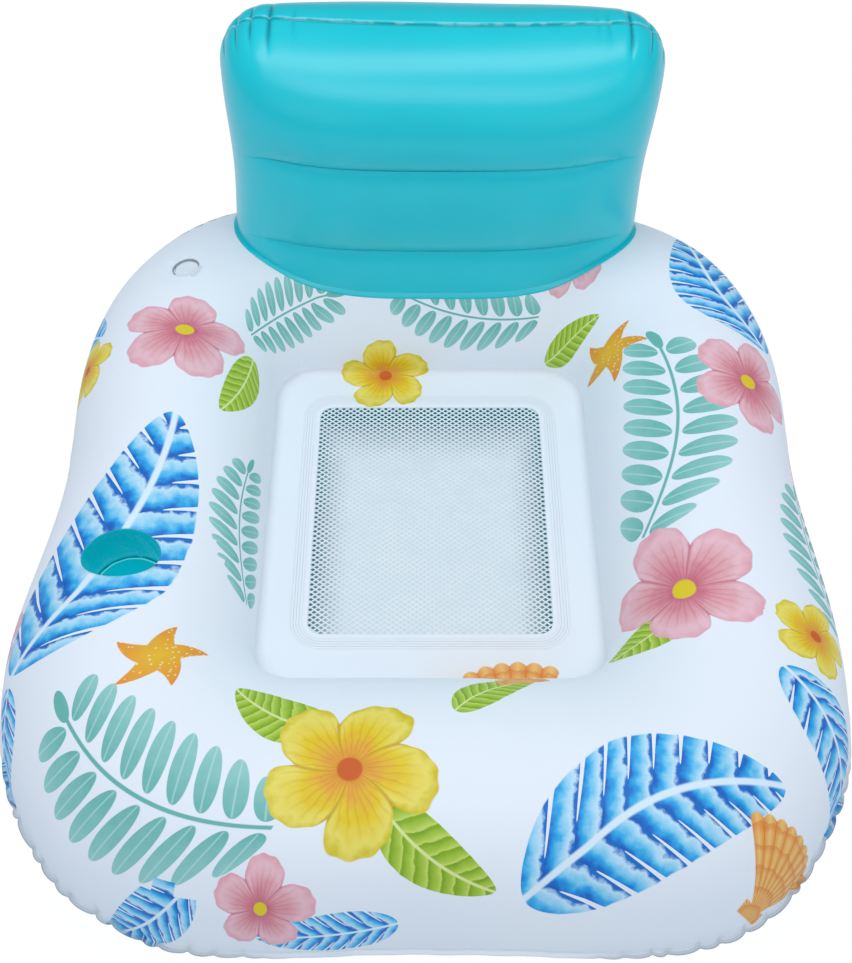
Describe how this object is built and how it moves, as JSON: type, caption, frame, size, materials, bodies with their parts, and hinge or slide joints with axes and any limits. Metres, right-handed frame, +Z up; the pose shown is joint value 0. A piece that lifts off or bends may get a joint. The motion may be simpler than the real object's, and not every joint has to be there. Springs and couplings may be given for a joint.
{
  "type": "inflatable pool chair",
  "caption": "Inflatable floating chair: rounded ring with a net seat, a pillow backrest, a cup well in one side tube and recessed air valves.",
  "frame": {"origin": "under the middle of the chair's box, on the floor", "axes": "+X to the right of a viewer who stands in front of the chair and looks at the backrest, +Y from the front tube to the backrest, +Z up"},
  "size_m": [0.9514, 1.1088, 0.533],
  "materials": {
    "print_vinyl": "soft satin white film with a printed pattern",
    "teal_vinyl": "satin teal film",
    "cup_vinyl": "translucent dark teal film",
    "net": "coated white net",
    "valve": "soft moulded white plastic"
  },
  "bodies": {
    "chair": {"base_top_sheet": "print_vinyl", "base_net_border": "print_vinyl", "base_bottom_sheet": "teal_vinyl", "seat_net": "net", "seat_net_weld_band": "teal_vinyl", "backrest_front_panel": "teal_vinyl", "backrest_rear_panel": "teal_vinyl", "backrest_foot_panel": "teal_vinyl", "backrest_lower_tie": "teal_vinyl", "backrest_upper_tie": "teal_vinyl", "cup_wall": "cup_vinyl", "cup_floor": "cup_vinyl", "base_valve_body": "valve", "base_valve_web": "valve", "backrest_valve_body": "valve", "backrest_valve_web": "valve"},
    "base_cap": {"base_valve_cap": "valve"},
    "base_flap": {"base_valve_flap": "valve"},
    "backrest_cap": {"backrest_valve_cap": "valve"},
    "backrest_flap": {"backrest_valve_flap": "valve"}
  },
  "joints": [
    {"name": "base_cap_hinge", "type": "hinge", "parent": "chair", "child": "base_cap", "pos_m": [-0.33899, 0.31223, 0.24433], "axis": [0, -0.9969, 0.0781], "range_deg": [0, 95]},
    {"name": "base_flap_hinge", "type": "hinge", "parent": "chair", "child": "base_flap", "pos_m": [-0.31166, 0.31159, 0.23618], "axis": [0, -0.9969, 0.0781], "range_deg": [0, 55], "stiffness_Nm_per_rad": 0.001, "springref_deg": -11.46},
    {"name": "backrest_cap_hinge", "type": "hinge", "parent": "chair", "child": "backrest_cap", "pos_m": [0.14434, 0.53865, 0.30436], "axis": [-0.9902, 0.1394, 0], "range_deg": [0, 95]},
    {"name": "backrest_flap_hinge", "type": "hinge", "parent": "chair", "child": "backrest_flap", "pos_m": [0.14318, 0.5304, 0.33164], "axis": [-0.9902, 0.1394, 0], "range_deg": [0, 55], "stiffness_Nm_per_rad": 0.001, "springref_deg": -11.46}
  ]
}
